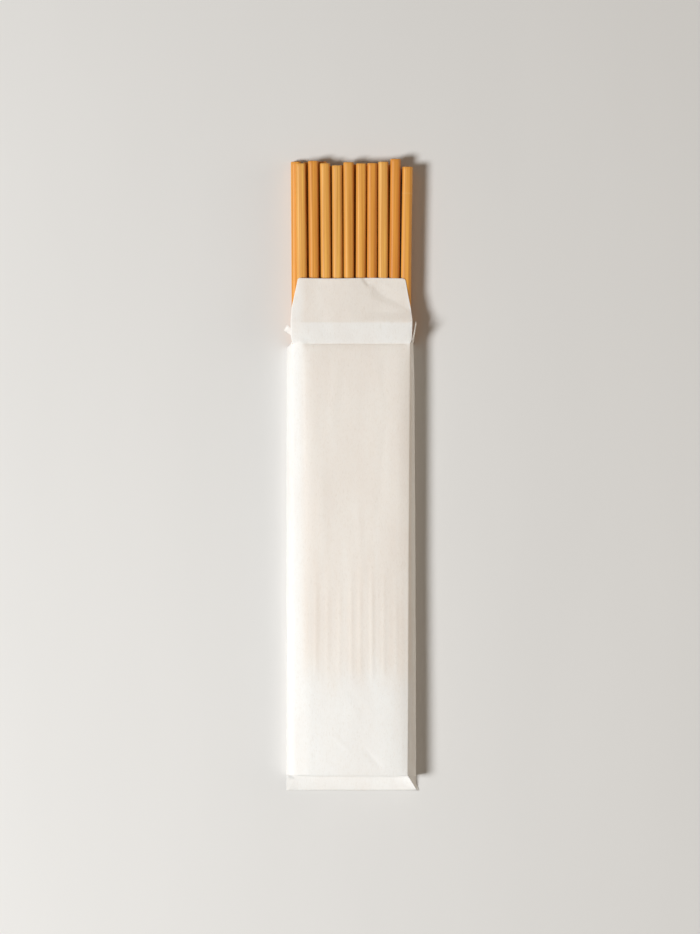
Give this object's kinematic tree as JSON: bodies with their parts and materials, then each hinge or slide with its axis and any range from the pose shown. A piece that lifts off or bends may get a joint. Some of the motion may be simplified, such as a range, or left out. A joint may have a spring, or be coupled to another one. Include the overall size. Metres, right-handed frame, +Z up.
{
  "type": "bamboo chopsticks in a paper bag",
  "caption": "Bamboo chopsticks with square shanks and slim round tips, packed in two layers in a flat open paper bag with a creased flap lying over them.",
  "frame": {"origin": "under the middle of the whole outline, on the surface the bag lies on", "axes": "+Z up from the surface, +Y from the bag's closed end towards the handles of the sticks, +X across the bag from its sloping side to its upright side"},
  "size_m": [0.0615, 0.2894, 0.0142],
  "materials": {
    "bamboo": "smooth golden carbonised bamboo, fine straight fibres",
    "white_paper": "thin matt white paper"
  },
  "bodies": {
    "root": {"chopstick_bottom_01": "bamboo", "chopstick_bottom_02": "bamboo", "chopstick_bottom_03": "bamboo", "chopstick_bottom_04": "bamboo", "chopstick_bottom_05": "bamboo", "chopstick_bottom_06": "bamboo", "chopstick_bottom_07": "bamboo", "chopstick_bottom_08": "bamboo", "chopstick_bottom_09": "bamboo", "chopstick_bottom_10": "bamboo", "chopstick_top_01": "bamboo", "chopstick_top_02": "bamboo", "chopstick_top_03": "bamboo", "chopstick_top_04": "bamboo", "chopstick_top_05": "bamboo", "chopstick_top_06": "bamboo", "chopstick_top_07": "bamboo", "chopstick_top_08": "bamboo", "chopstick_top_09": "bamboo", "chopstick_top_10": "bamboo", "paper_bag": "white_paper"}
  },
  "joints": []
}
